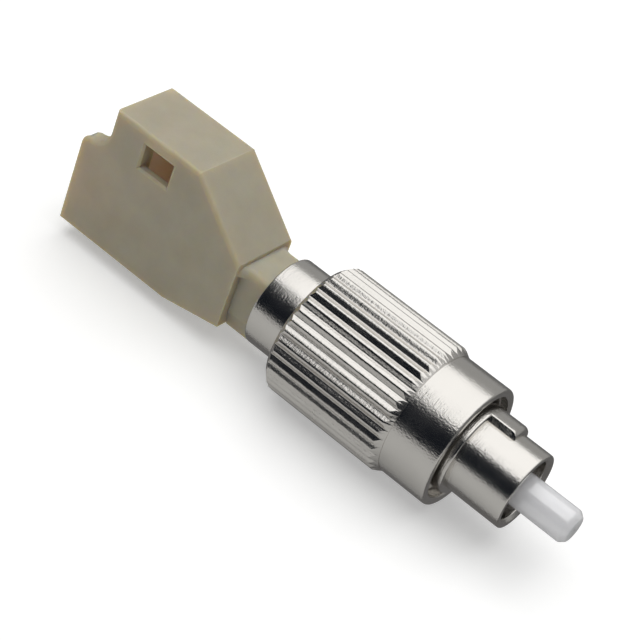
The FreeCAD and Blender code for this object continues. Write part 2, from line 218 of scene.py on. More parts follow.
class PlugSizes(bpy.types.PropertyGroup):
    """Sizes of the keyed nose, its collar and the tube behind it."""

    rear: station("Rear face", "Where the plug frame starts", -8.4)
    front: station("Front face", "Front of the nose", 4.3)
    body_radius: length("Body radius", "Outer radius behind the collar", 3.25)
    body_bore_radius: length("Body bore radius", "Bore of the tube behind the web", 2.6)
    collar_radius: length("Collar radius", "Radius of the seating collar", 3.35)
    collar_length: length("Collar length", "Length of the seating collar", 1.0)
    collar_rounding: length("Collar rounding", "Rounding of the collar's edge", 0.16)
    nose_radius: length("Nose radius", "Outer radius of the nose", 2.88)
    nose_bore_radius: length("Nose bore radius", "Bore of the nose", 2.3)
    nose_rounding: length("Nose rounding", "Rounding of the nose's front edge", 0.3)
    mouth_chamfer: length("Mouth chamfer", "Chamfer inside the nose's mouth", 0.25)
    web_front: station("Web front", "Front of the web behind the bore", -0.6)
    web_back: station("Web back", "Back of the web", -1.4)
    web_hole_radius: length("Web hole radius", "Hole for the ferrule", 1.6)
    pocket_radius: length("Pocket radius", "Room for the ferrule's flange", 2.5)
    pocket_back: station("Pocket back", "Rear end of the flange's room", -3.6)
    key_width: length("Key width", "Width of the key", 2.1)
    key_length: length("Key length", "Length of the key", 2.1)
    key_end_radius: length("Key end radius", "Rounding at the key's end", 0.45)
    key_edge_radius: length("Key edge radius", "Rounding along the key's edges", 0.09)
    key_turn: bearing("Key turn", "Angle of the key from the socket's latch side", 18)
    edge_rounding: length("Edge rounding", "Rounding of the other turned edges", 0.06)


class FerruleSizes(bpy.types.PropertyGroup):
    """Sizes of the 2.5 mm ceramic ferrule."""

    back: station("Back", "Rear end of the ferrule", -4.8)
    tip: station("Tip", "Polished end of the ferrule", 8.2)
    radius: length("Radius", "Outer radius", 1.25)
    fibre_radius: length("Fibre radius", "Radius of the fibre's hole", 0.0625)
    guide_radius: length("Guide radius", "Mouth of the fibre's guide cone", 0.4)
    guide_length: length("Guide length", "Length of the guide cone", 0.7)
    tip_chamfer_length: length("Tip chamfer length", "Length of the tip's chamfer", 0.4)
    tip_chamfer_depth: length("Tip chamfer depth", "Depth of the tip's chamfer", 0.32)
    back_rounding: length("Back rounding", "Rounding at the rear end", 0.05)
    tip_rounding: length("Tip rounding", "Rounding of the tip's edges", 0.1)


class SpringSizes(bpy.types.PropertyGroup):
    """Sizes of the coil spring that pushes the ferrule out."""

    seat: station("Seat", "Where the spring rests in the barrel", -12.0)
    flange: station("Flange", "Where the spring pushes on the ferrule's flange", -3.0)
    coil_radius: length("Coil radius", "Radius at the middle of the wire", 1.9)
    wire_radius: length("Wire radius", "Radius of the wire", 0.22)
    end_gap: length("End gap", "Gap left at each end", 0.01)
    turns: bpy.props.FloatProperty(name="Turns", description="Number of coils", default=7.5, min=1.0)


class Finishes(bpy.types.PropertyGroup):
    """Colours of the adapter's materials."""

    beige: colour("Beige plastic", "Lighter tone of the moulded housing", "B2AC98")
    beige_shade: colour("Beige plastic shade", "Darker tone of the moulded housing", "ACA590")
    nickel: colour("Nickel", "Bright nickel plating", "D5D2CD")
    zirconia: colour("Zirconia", "White ceramic", "EBEBEE")
    white_plastic: colour("White plastic", "Sleeve holder and cap", "E4E2DA")
    spring: colour("Spring steel", "Drawn spring wire and retaining ring", "B4B4B6")
    glass: colour("Glass", "Fibre in the ferrules", "E3EDF0")


class StageSizes(bpy.types.PropertyGroup):
    """Floor, lamps, cards and camera."""

    floor_height: station("Floor height", "Height of the floor", -5.0)
    floor_size: length("Floor size", "Width of the floor", 3000.0)
    lamp_height: length("Lamp height", "Height of the overhead soft box", 200.0)
    lamp_length: length("Lamp length", "Size of the soft box along the adapter", 250.0)
    lamp_depth: length("Lamp depth", "Size of the soft box across the adapter", 350.0)
    lamp_x: station("Lamp place along", "Middle of the soft box along the adapter", -30.0)
    lamp_y: station("Lamp place across", "Middle of the soft box across the adapter", 22.0)
    lamp_radiance: brightness("Lamp radiance", "Brightness of the soft box, where 1 is white", 1.75)
    # Painted reflection of the soft box: metal mirrors a glowing card at this level instead of the lamp
    mirrored_lamp: brightness("Mirrored lamp", "Brightness of the diffuser that metal mirrors below it", 1.38)
    room_level: brightness("Room level", "Brightness of the room's fill light", 0.2)
    # Painted reflection: metal mirrors the room much brighter than the room's fill light
    painted_room_reflection: brightness("Painted room reflection", "Brightness of the room where metal mirrors it", 0.7)
    floor_glow: brightness("Floor glow", "Share of the floor's white that needs no lamp", 0.35)
    # Painted reflection: metal mirrors the floor with less glow than the camera sees on it
    painted_reflection_glow: brightness("Painted reflection glow", "The same share where metal mirrors the floor", 0.1)
    # Painted dark reflection: a black card on the camera's side that only metal sees; it casts no shade
    dark_card_y: station("Dark card place", "Where the black card stands on the camera's side", -80.0)
    dark_card_top: station("Dark card top", "Top edge of the black card", 104.0)
    # Painted grey reflection: a grey card behind the adapter that only metal sees
    grey_card_y: station("Grey card place", "Where the grey card stands behind", 150.0)
    grey_card_top: station("Grey card top", "Top edge of the grey card", 152.0)
    # Painted grey reflections at both ends: cards that only metal sees
    end_card_x: length("End card distance", "Distance of the grey cards at both ends", 170.0)
    end_card_top: station("End card top", "Top edge of the grey cards at both ends", 150.0)
    # Painted shade in the soft box's reflection: a black card just below the lamp that only metal sees; the
    # lamp still lights the adapter through it
    hung_card_x: station("Hung card edge along", "Edge of the black card under the lamp", -84.0)
    hung_card_y: station("Hung card edge across", "Its edge on the camera's side", -56.0)
    hung_card_gap: length("Hung card gap", "How far the card hangs below the lamp", 2.0)
    # Painted shadow in reflections: a grey card just above the floor, under and behind the adapter, that only
    # metal sees
    low_card_y: station("Low card edge", "Where the grey card on the floor starts", -3.4)
    low_card_lift: length("Low card lift", "How far the low card lies above the floor", 0.02)
    card_width: length("Card width", "Width of each card", 600.0)
    # Colour of the painted dark reflections, on the camera's side and under the lamp
    dark_card: colour("Dark card", "Colour of the black cards", "14181F")
    # Colours of the painted grey reflections behind the adapter and at both ends
    grey_card: colour("Grey card", "Colour of the grey card", "A4A4A3")
    end_card: colour("End card", "Colour of the cards at both ends", "747576")
    floor_tone: colour("Floor", "Colour of the matt floor", "ECECEB")
    # Painted shade in reflections: metal mirrors the floor in this tone, darker than the floor has
    painted_floor_reflection: colour("Painted floor reflection", "Its tone where metal mirrors it", "C0C0BF")
    # Colour of the painted floor shadow that metal mirrors
    low_card: colour("Low card", "Colour of the card on the floor", "6A6969")
    lens: bpy.props.FloatProperty(
        name="Lens", description="Focal length of the camera in millimetres", default=117.39, min=1.0
    )


def add_node(tree, kind, settings=None, inputs=None):
    """Adds a node with its own settings, and gives its inputs a value or a link."""
    node = tree.nodes.new(kind)
    for key, value in (settings or {}).items():
        setattr(node, key, value)
    for key, value in (inputs or {}).items():
        if isinstance(value, bpy.types.NodeSocket):
            tree.links.new(value, node.inputs[key])
        else:
            node.inputs[key].default_value = value
    return node


def finish_of(make):
    """The material that a function makes, made the first time it is asked for."""
    name = make.__name__.replace("_", " ").capitalize()
    return bpy.data.materials.get(name) or make(name, bpy.context.scene.adapter_finishes)


def new_surface(name, values):
    """A material with only its Principled shader and output, and the shader's plain values."""
    material = bpy.data.materials.new(name)
    material.use_nodes = True
    shader = material.node_tree.nodes["Principled BSDF"]
    for key, value in values.items():
        shader.inputs[key].default_value = value
    return material, material.node_tree, shader


def grain_pattern(tree, grain, detail=2.0):
    """Noise pattern in Object coordinates, whose grain is given along X, Y and Z in metres."""
    place = add_node(tree, "ShaderNodeTexCoord").outputs["Object"]
    scale = [1 / size for size in grain]
    scaled = add_node(tree, "ShaderNodeMapping", inputs={"Vector": place, "Scale": scale})
    inputs = {"Vector": scaled.outputs["Vector"], "Scale": 1.0, "Detail": detail}
    return add_node(tree, "ShaderNodeTexNoise", inputs=inputs).outputs["Fac"]


def levels_of(tree, pattern, low, high):
    """Level that follows a pattern from low to high."""
    ends = {"From Min": NOISE_LOW, "From Max": NOISE_HIGH, "To Min": low, "To Max": high}
    return add_node(tree, "ShaderNodeMapRange", inputs={"Value": pattern, **ends}).outputs["Result"]


def vary_roughness(tree, shader, pattern, low, high):
    """Lets the roughness follow a pattern from low to high."""
    tree.links.new(levels_of(tree, pattern, low, high), shader.inputs["Roughness"])


def raise_patterns(tree, shader, layers):
    """Raises patterns on the surface, one on top of the other, each by its depth in millimetres."""
    below = {}
    for pattern, depth in layers:
        inputs = {"Height": pattern, "Distance": depth * MM, "Strength": 1.0, **below}
        below = {"Normal": add_node(tree, "ShaderNodeBump", inputs=inputs).outputs["Normal"]}
    tree.links.new(below["Normal"], shader.inputs["Normal"])


def moulded_housing_plastic(name, finishes):
    """Almond engineering plastic from a finely eroded mould: dull, and translucent where it is thin."""
    material, tree, shader = new_surface(name, {
        "IOR": 1.57,
        "Subsurface Weight": 1.0,
        "Subsurface Radius": (1.0, 0.64, 0.22),
        "Subsurface Scale": 2.2 * MM,
    })
    mottle = levels_of(tree, grain_pattern(tree, PLASTIC_MOTTLE, detail=3.0), low=0.0, high=1.0)
    tones = {"Fac": mottle, "Color1": finishes.beige, "Color2": finishes.beige_shade}
    tone = add_node(tree, "ShaderNodeMixRGB", inputs=tones).outputs["Color"]
    tree.links.new(tone, shader.inputs["Base Color"])
    grain = grain_pattern(tree, MOULD_GRAIN)
    vary_roughness(tree, shader, grain, low=0.42, high=0.56)
    raise_patterns(tree, shader, [(grain, 0.012)])
    return material


def turned_nickel(name, finishes):
    """Bright nickel plate on turned brass: fine rings, and a grain that breaks up the reflections."""
    material, tree, shader = new_surface(name, {"Base Color": finishes.nickel, "Metallic": 1.0})
    grain = grain_pattern(tree, PLATING_GRAIN)
    rings = grain_pattern(tree, TURNING_RINGS, detail=3.0)
    vary_roughness(tree, shader, grain_pattern(tree, HANDLING_PATCHES), low=0.17, high=0.23)
    raise_patterns(tree, shader, [(rings, 0.014), (grain, 0.014)])
    return material


def cut_nickel(name, finishes):
    """Bright nickel plate on milled flutes: a cutter's chatter, which dulls the plate a little."""
    material, tree, shader = new_surface(name, {"Base Color": finishes.nickel, "Metallic": 1.0})
    chatter = grain_pattern(tree, CUTTER_CHATTER, detail=1.0)
    rings = grain_pattern(tree, TURNING_RINGS, detail=3.0)
    grain = grain_pattern(tree, PLATING_GRAIN)
    vary_roughness(tree, shader, grain_pattern(tree, HANDLING_PATCHES), low=0.2, high=0.28)
    raise_patterns(tree, shader, [(chatter, 0.012), (rings, 0.005), (grain, 0.015)])
    return material


def ground_zirconia(name, finishes):
    """White zirconia, ground and polished: hard bright gloss over a milky, translucent body."""
    material, tree, shader = new_surface(name, {
        "Base Color": finishes.zirconia,
        "IOR": 2.15,
        "Subsurface Weight": 1.0,
        "Subsurface Radius": (1.0, 1.0, 1.0),
        "Subsurface Scale": 2.4 * MM,
    })
    grinding = grain_pattern(tree, TURNING_RINGS)
    vary_roughness(tree, shader, grinding, low=0.02, high=0.04)
    raise_patterns(tree, shader, [(grinding, 0.0015)])
    return material


def plain_white_plastic(name, finishes):
    """White moulded plastic of the inner parts: dull and even."""
    material, tree, shader = new_surface(name, {
        "Base Color": finishes.white_plastic,
        "IOR": 1.5,
        "Subsurface Weight": 0.3,
        "Subsurface Scale": 0.5 * MM,
    })
    grain = grain_pattern(tree, MOULD_GRAIN)
    vary_roughness(tree, shader, grain, low=0.4, high=0.5)
    raise_patterns(tree, shader, [(grain, 0.004)])
    return material


def drawn_spring_steel(name, finishes):
    """Drawn stainless wire: grey metal with a soft, even shine."""
    material, tree, shader = new_surface(name, {"Base Color": finishes.spring, "Metallic": 1.0})
    drawing = grain_pattern(tree, PLATING_GRAIN)
    vary_roughness(tree, shader, drawing, low=0.22, high=0.34)
    raise_patterns(tree, shader, [(drawing, 0.003)])
    return material


def fibre_glass(name, finishes):
    """Silica fibre, polished flush with the ferrule's tip: clear and glossy."""
    values = {"Base Color": finishes.glass, "IOR": 1.46, "Transmission Weight": 0.5}
    material, tree, shader = new_surface(name, values)
    vary_roughness(tree, shader, grain_pattern(tree, PLATING_GRAIN), low=0.02, high=0.06)
    return material


def rounded_section(corners):
    """Closed section of (x, radius) points, each corner rounded by its own third value."""
    points = []
    for index, (x, radius, rounding) in enumerate(corners):
        here = Vector((x, radius))
        if rounding == 0:
            points.append(here)
            continue
        before = Vector(corners[index - 1][:2]) - here
        after = Vector(corners[(index + 1) % len(corners)][:2]) - here
        reach = min(rounding, before.length / 2, after.length / 2)
        start = here + before.normalized() * reach
        end = here + after.normalized() * reach
        for step in range(ROUNDING_STEPS + 1):
            share = step / ROUNDING_STEPS
            points.append(start * (1 - share) ** 2 + here * 2 * share * (1 - share) + end * share ** 2)
    return points


def turned_point(x, radius, angle):
    """Point at a radius and an angle from the latch side, turning towards +Y."""
    return Vector((x, radius * math.sin(angle), radius * math.cos(angle)))


def new_piece(name, mesh, material):
    """Links a finished mesh as a piece with one material, at the origin."""
    piece = bpy.data.objects.new(name, mesh)
    bpy.context.scene.collection.objects.link(piece)
    mesh.materials.clear()
    mesh.materials.append(material)
    return piece


def smooth_piece(piece):
    """Smooth shading that keeps sharp edges and flat faces."""
    piece.data.shade_smooth()
    piece.data.set_sharp_from_angle(angle=SHARP_ANGLE)
    even = piece.modifiers.new("Even shading", "WEIGHTED_NORMAL")
    even.keep_sharp = True
    settle(piece)


def settle(piece):
    """Turns a piece and its modifiers into one plain mesh."""
    graph = bpy.context.evaluated_depsgraph_get()
    mesh = bpy.data.meshes.new_from_object(piece.evaluated_get(graph), depsgraph=graph)
    piece.modifiers.clear()
    piece.data = mesh
    mesh.name = piece.name


def shell_mesh(name, columns, closed=False, capped=False):
    """Mesh skinned over columns of points; closed joins the last to the first, capped fills both ends."""
    shell = bmesh.new()
    rows = [[shell.verts.new(point) for point in column] for column in columns]
    pairs = list(zip(rows, rows[1:] + rows[:1])) if closed else list(zip(rows, rows[1:]))
    for near, far in pairs:
        for index in range(len(near)):
            after = (index + 1) % len(near)
            shell.faces.new((near[index], near[after], far[after], far[index]))
    if capped:
        shell.faces.new(rows[0])
        shell.faces.new(rows[-1])
    bmesh.ops.remove_doubles(shell, verts=shell.verts, dist=SAME_POINT)
    bmesh.ops.dissolve_degenerate(shell, edges=shell.edges, dist=SAME_POINT)
    if closed or capped:
        bmesh.ops.recalc_face_normals(shell, faces=shell.faces)
    mesh = bpy.data.meshes.new(name)
    shell.to_mesh(mesh)
    shell.free()
    return mesh


def turned_piece(name, corners, segments, finish):
    """Turned part as a piece: a closed section swept once round the fibre."""
    section = rounded_section(corners)
    columns = []
    for index in range(segments):
        turn = 2 * math.pi * index / segments
        columns.append([turned_point(point.x, point.y, turn) for point in section])
    piece = new_piece(name, shell_mesh(name, columns, closed=True), finish)
    smooth_piece(piece)
    return piece


def run_tree(piece, tree, values):
    """Runs a geometry tree on a piece with its inputs by name, and keeps the plain mesh."""
    modifier = piece.modifiers.new(tree.name, "NODES")
    modifier.node_group = tree
    for item in tree.interface.items_tree:
        if item.in_out == "INPUT" and item.name in values:
            modifier[item.identifier] = values[item.name]
    settle(piece)


def tree_piece(name, tree, values, finish):
    """Piece that a geometry tree makes from its inputs alone."""
    piece = new_piece(name, bpy.data.meshes.new(name), finish)
    run_tree(piece, tree, {**values, "Finish": finish})
    smooth_piece(piece)
    return piece


def new_tree(name, sockets):
    """Empty geometry tree with a geometry output and the named inputs."""
    tree = bpy.data.node_groups.new(name, "GeometryNodeTree")
    tree.interface.new_socket("Geometry", in_out="OUTPUT", socket_type="NodeSocketGeometry")
    for label, kind in sockets.items():
        tree.interface.new_socket(label, in_out="INPUT", socket_type="NodeSocket" + kind)
    return tree, tree.nodes.new("NodeGroupInput").outputs, tree.nodes.new("NodeGroupOutput")


def finish_tree(tree, geometry, material, output):
    """Ends a tree with real geometry that carries its material."""
    real = add_node(tree, "GeometryNodeRealizeInstances", inputs={"Geometry": geometry})
    joined = add_node(
        tree,
        "GeometryNodeMergeByDistance",
        inputs={"Geometry": real.outputs["Geometry"], "Distance": SAME_SEAM_POINT},
    )
    painted = add_node(
        tree,
        "GeometryNodeSetMaterial",
        inputs={"Geometry": joined.outputs["Geometry"], "Material": material},
    )
    tree.links.new(painted.outputs["Geometry"], output.inputs["Geometry"])


def ring_tree():
    """Repeats one slice round the fibre, once for each flute."""
    tree, given, output = new_tree(
        "Repeat round the fibre",
        {"Slice": "Geometry", "Copies": "Int", "First angle": "Float", "Finish": "Material"},
    )
    index = add_node(tree, "GeometryNodeInputIndex").outputs["Index"]
    one_turn = add_node(
        tree, "ShaderNodeMath", {"operation": "DIVIDE"}, {0: 2 * math.pi, 1: given["Copies"]}
    ).outputs[0]
    angle = add_node(
        tree,
        "ShaderNodeMath",
        {"operation": "MULTIPLY_ADD"},
        {0: index, 1: one_turn, 2: given["First angle"]},
    ).outputs[0]
    turn = add_node(tree, "ShaderNodeCombineXYZ", inputs={"X": angle}).outputs[0]
    places = add_node(tree, "GeometryNodePoints", inputs={"Count": given["Copies"]}).outputs[0]
    copies = add_node(
        tree,
        "GeometryNodeInstanceOnPoints",
        inputs={"Points": places, "Instance": given["Slice"], "Rotation": turn},
    )
    finish_tree(tree, copies.outputs["Instances"], given["Finish"], output)
    return tree


def helix_curve(tree, given):
    """Helix about Z, from the inputs that every helix tree has."""
    inputs = {
        "Resolution": given["Points per turn"],
        "Rotations": given["Turns"],
        "Start Radius": given["Radius"],
        "End Radius": given["Radius"],
        "Height": given["Length"],
    }
    return add_node(tree, "GeometryNodeCurveSpiral", inputs=inputs).outputs["Curve"]


def laid_along_fibre(tree, given, mesh):
    """Turns what was made about Z to the fibre's direction, and moves it to its start."""
    along = add_node(tree, "ShaderNodeCombineXYZ", inputs={"X": given["Start"]}).outputs[0]
    inputs = {"Geometry": mesh, "Translation": along, "Rotation": (0.0, math.pi / 2, 0.0)}
    return add_node(tree, "GeometryNodeTransform", inputs=inputs).outputs["Geometry"]


def spring_tree():
    """Coil spring: round wire that follows a helix along the fibre."""
    tree, given, output = new_tree(
        "Coil spring", {**HELIX_INPUTS, "Wire radius": "Float", "Points round the wire": "Int"}
    )
    wire = add_node(
        tree,
        "GeometryNodeCurvePrimitiveCircle",
        inputs={"Resolution": given["Points round the wire"], "Radius": given["Wire radius"]},
    ).outputs["Curve"]
    swept = add_node(
        tree,
        "GeometryNodeCurveToMesh",
        inputs={"Curve": helix_curve(tree, given), "Profile Curve": wire, "Fill Caps": True},
    ).outputs["Mesh"]
    finish_tree(tree, laid_along_fibre(tree, given, swept), given["Finish"], output)
    return tree


def thread_tree():
    """Internal screw thread: a ridge along a helix that runs out at both ends."""
    tree, given, output = new_tree(
        "Internal thread",
        {
            **HELIX_INPUTS,
            "Ridge height": "Float",
            "Ridge middle": "Float",
            "Ridge foot": "Float",
            "Ridge crest": "Float",
        },
    )
    helix = {"Curve": helix_curve(tree, given)}
    steady = add_node(tree, "GeometryNodeSetCurveNormal", {"mode": "Z_UP"}, helix).outputs["Curve"]
    ridge = add_node(
        tree,
        "GeometryNodeCurvePrimitiveQuadrilateral",
        {"mode": "TRAPEZOID"},
        {
            "Height": given["Ridge height"],
            "Bottom Width": given["Ridge foot"],
            "Top Width": given["Ridge crest"],
            "Offset": 0.0,
        },
    ).outputs["Curve"]
    middle = add_node(tree, "ShaderNodeCombineXYZ", inputs={"X": given["Ridge middle"]}).outputs[0]
    inward = add_node(
        tree,
        "GeometryNodeTransform",
        inputs={"Geometry": ridge, "Translation": middle, "Rotation": (0.0, 0.0, -math.pi / 2)},
    ).outputs["Geometry"]
    place = add_node(tree, "GeometryNodeSplineParameter").outputs["Factor"]
    rest = add_node(tree, "ShaderNodeMath", {"operation": "SUBTRACT"}, {0: 1.0, 1: place}).outputs[0]
    nearer = add_node(tree, "ShaderNodeMath", {"operation": "MINIMUM"}, {0: place, 1: rest}).outputs[0]
    grown = add_node(
        tree, "ShaderNodeMath", {"operation": "DIVIDE", "use_clamp": True}, {0: nearer, 1: THREAD_RUN_OUT}
    ).outputs[0]
    swept = add_node(
        tree,
        "GeometryNodeCurveToMesh",
        inputs={"Curve": steady, "Profile Curve": inward, "Scale": grown, "Fill Caps": True},
    ).outputs["Mesh"]
    finish_tree(tree, laid_along_fibre(tree, given, swept), given["Finish"], output)
    return tree


def nut_section(nut, ridge):
    """Closed section of the nut where its knurl stands at the given radius."""
    edge = nut.edge_rounding
    rear_edge = nut.crest_radius - nut.rear_chamfer
    slant = nut.step_run / (nut.crest_radius - nut.skirt_radius)
    groove_front = nut.knurl_front + nut.step_groove_width
    groove_radius = nut.skirt_radius - nut.step_groove_depth
    return rounded_section([
        (nut.rear, nut.lip_radius, edge),
        (nut.rear, rear_edge, 0),
        (nut.rear + ridge - rear_edge, ridge, 0),
        (nut.knurl_front - slant * (ridge - nut.skirt_radius), ridge, 0),
        (nut.knurl_front, nut.skirt_radius, 0),
        (nut.knurl_front, groove_radius, 0),
        (groove_front, groove_radius, 0),
        (groove_front, nut.skirt_radius, 0),
        (nut.front, nut.skirt_radius, nut.rim_rounding),
        (nut.front, nut.mouth_radius, 2 * edge),
        (nut.front - (nut.mouth_radius - nut.thread_root_radius), nut.thread_root_radius, 0),
        (nut.thread_end, nut.thread_root_radius, 0),
        (nut.thread_end, nut.relief_radius, 0),
        (nut.groove_front, nut.relief_radius, 0),
        (nut.groove_front, nut.groove_radius, 0),
        (nut.groove_back, nut.groove_radius, 0),
        (nut.groove_back, nut.lip_radius, 0),
    ])


def flute_radius(nut, angle):
    """Radius of the knurl at an angle from the middle of a crest."""
    pitch = 2 * math.pi / nut.flutes
    valley = pitch / 2 - abs(angle)
    half_mouth = (pitch * nut.crest_radius - nut.flute_land) / 2
    half_root = nut.flute_root / 2
    slope = nut.flute_depth / (half_mouth - half_root)
    root = nut.crest_radius - nut.flute_depth
    flank = (root - slope * half_root) / (math.cos(valley) - slope * math.sin(valley))
    return min(max(flank, root / math.cos(valley)), nut.crest_radius)


def nut_slice(nut):
    """One flute's slice of the nut, from valley to valley."""
    pitch = 2 * math.pi / nut.flutes
    crest_edge = nut.flute_land / nut.crest_radius / 2
    root_edge = pitch / 2 - nut.flute_root / (nut.crest_radius - nut.flute_depth) / 2
    flank = [root_edge + (crest_edge - root_edge) * step / FLANK_STEPS for step in range(FLANK_STEPS + 1)]
    half = [pitch / 2] + flank
    angles = [-angle for angle in half] + half[::-1]
    columns = []
    for angle in angles:
        section = nut_section(nut, flute_radius(nut, angle))
        columns.append([turned_point(point.x, point.y, angle) for point in section])
    return shell_mesh("nut slice", columns)


def key_section(plug, x, drop):
    """Section of the key at x, its top lowered by drop where the end rounds off."""
    half = plug.key_width / 2
    edge = plug.key_edge_radius
    foot = (plug.nose_radius + plug.nose_bore_radius) / 2

    def top(y):
        return math.sqrt(plug.collar_radius ** 2 - y ** 2) - drop

    side = [(half, foot)]
    for step in range(ROUNDING_STEPS + 1):
        turn = math.pi / 2 * step / ROUNDING_STEPS
        y = half - edge + edge * math.cos(turn)
        side.append((y, max(top(y) - edge + edge * math.sin(turn), foot)))
    middle = [(y, top(y)) for y in (half / 2, 0.0, -half / 2)]
    outline = side + middle + [(-y, z) for y, z in reversed(side)]
    turn = Matrix.Rotation(-plug.key_turn, 3, "X")
    return [turn @ Vector((x, y, z)) for y, z in outline]


def key_mesh(plug):
    """Key on the nose, rounded at its front end and along its edges."""
    straight = plug.key_length - plug.key_end_radius
    sections = [key_section(plug, -plug.collar_rounding, 0.0)]
    steps = 2 * ROUNDING_STEPS
    for step in range(steps + 1):
        turn = math.pi / 2 * step / steps
        x = straight + plug.key_end_radius * math.sin(turn)
        sections.append(key_section(plug, x, plug.key_end_radius * (1 - math.cos(turn))))
    return shell_mesh("nose_key", sections, capped=True)


def paint_node(node, material):
    """Gives a CAD node a finished material."""
    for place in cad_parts[node].material_slots:
        place.material = material


class ADAPTER_OT_housing(bpy.types.Operator):
    """Finish the moulded socket housing"""

    bl_idname = "adapter.housing"
    bl_label = "Socket housing"

    def execute(self, context):
        paint_node("lc_housing", finish_of(moulded_housing_plastic))
        return {"FINISHED"}


class ADAPTER_OT_barrel(bpy.types.Operator):
    """Build the plain nickel-plated tube behind the nut"""

    bl_idname = "adapter.barrel"
    bl_label = "Back barrel"

    def execute(self, context):
        size = context.scene.adapter_barrel
        edge = size.edge_rounding
        corners = [
            (size.rear, size.spigot_radius, 0),
            (size.rear, size.radius, edge),
            (size.band_end, size.radius, edge),
            (size.band_end, size.waist_radius, 0),
            (size.waist_end, size.waist_radius, 0),
            (size.waist_end, size.nose_radius, 0),
            (size.nose_end, size.nose_radius, edge),
            (size.nose_end, size.spring_bore_radius, 0),
            (size.seat_front, size.spring_bore_radius, 0),
            (size.seat_front, size.seat_hole_radius, 0),
            (size.seat_back, size.seat_hole_radius, 0),
            (size.seat_back, size.spigot_radius, 0),
        ]
        finish = finish_of(turned_nickel)
        piece = turned_piece("turned_barrel", corners, TURNED_SEGMENTS, finish)
        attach(piece, "adapter")
        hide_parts("back_barrel")
        return {"FINISHED"}


class ADAPTER_OT_plug(bpy.types.Operator):
    """Build the turned nose with its collar and key"""

    bl_idname = "adapter.plug"
    bl_label = "Keyed plug nose"

    def execute(self, context):
        size = context.scene.adapter_plug
        edge = size.edge_rounding
        mouth = size.nose_bore_radius + size.mouth_chamfer
        corners = [
            (size.rear, size.body_bore_radius, 0),
            (size.rear, size.body_radius, edge),
            (-size.collar_length, size.body_radius, 0),
            (-size.collar_length, size.collar_radius, edge),
            (0.0, size.collar_radius, size.collar_rounding),
            (0.0, size.nose_radius, 0),
            (size.front, size.nose_radius, size.nose_rounding),
            (size.front, mouth, edge),
            (size.front - size.mouth_chamfer, size.nose_bore_radius, edge),
            (size.web_front, size.nose_bore_radius, 0),
            (size.web_front, size.web_hole_radius, edge),
            (size.web_back, size.web_hole_radius, 0),
            (size.web_back, size.pocket_radius, 0),
            (size.pocket_back, size.pocket_radius, 0),
            (size.pocket_back, size.body_bore_radius, 0),
        ]
        finish = finish_of(turned_nickel)
        nose = turned_piece("keyed_nose", corners, TURNED_SEGMENTS, finish)
        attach(nose, "adapter")
        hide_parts("plug_frame")
        key = new_piece("nose_key", key_mesh(size), finish)
        smooth_piece(key)
        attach(key, "adapter")
        return {"FINISHED"}


class ADAPTER_OT_nut(bpy.types.Operator):
    """Build the knurled coupling nut from one slice for each flute"""

    bl_idname = "adapter.nut"
    bl_label = "Knurled coupling nut"

    def execute(self, context):
        size = context.scene.adapter_nut
        finish = finish_of(cut_nickel)
        piece = new_piece("knurled_nut", nut_slice(size), finish)
        first_crest = size.flute_turn + math.pi / size.flutes
        values = {"Copies": size.flutes, "First angle": first_crest, "Finish": finish}
        run_tree(piece, ring_tree(), values)
        shell = bmesh.new()
        shell.from_mesh(piece.data)
        bmesh.ops.recalc_face_normals(shell, faces=shell.faces)
        for face in shell.faces:
            if face.calc_center_median().x > size.knurl_front:
                face.material_index = 1
        shell.to_mesh(piece.data)
        shell.free()
        piece.data.materials.append(finish_of(turned_nickel))
        smooth_piece(piece)
        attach(piece, "nut")
        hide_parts("coupling_nut")
        return {"FINISHED"}


class ADAPTER_OT_thread(bpy.types.Operator):
    """Build the screw thread inside the coupling nut's mouth"""

    bl_idname = "adapter.thread"
    bl_label = "Nut thread"

    def execute(self, context):
        size = context.scene.adapter_nut
        start = size.thread_end + size.thread_pitch / 2
        end = size.front - size.thread_inset
        bite = size.thread_bite
        height = size.thread_root_radius - size.thread_crest_radius + bite
        crest = size.thread_pitch * THREAD_CREST_SHARE
        values = {
            "Turns": (end - start) / size.thread_pitch,
            "Radius": size.thread_root_radius,
            "Length": end - start,
            "Start": start,
            "Ridge height": height,
            "Ridge middle": height / 2 - bite,
            "Ridge foot": crest + 2 * height * math.tan(THREAD_FLANK),
            "Ridge crest": crest,
            "Points per turn": THREAD_SEGMENTS,
        }
        piece = tree_piece("nut_thread", thread_tree(), values, finish_of(turned_nickel))
        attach(piece, "nut")
        return {"FINISHED"}


class ADAPTER_OT_ferrule(bpy.types.Operator):
    """Build the ceramic ferrule with its polished tip"""

    bl_idname = "adapter.ferrule"
    bl_label = "Ceramic ferrule"

    def execute(self, context):
        size = context.scene.adapter_ferrule
        corners = [
            (size.back, size.guide_radius, 0),
            (size.back, size.radius, size.back_rounding),
            (size.tip - size.tip_chamfer_length, size.radius, size.tip_rounding),
            (size.tip, size.radius - size.tip_chamfer_depth, size.tip_rounding),
            (size.tip, size.fibre_radius, 0),
            (size.back + size.guide_length, size.fibre_radius, 0),
        ]
        finish = finish_of(ground_zirconia)
        piece = turned_piece("polished_ferrule", corners, FERRULE_SEGMENTS, finish)
        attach(piece, "ferrule")
        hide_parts("fc_ferrule")
        return {"FINISHED"}


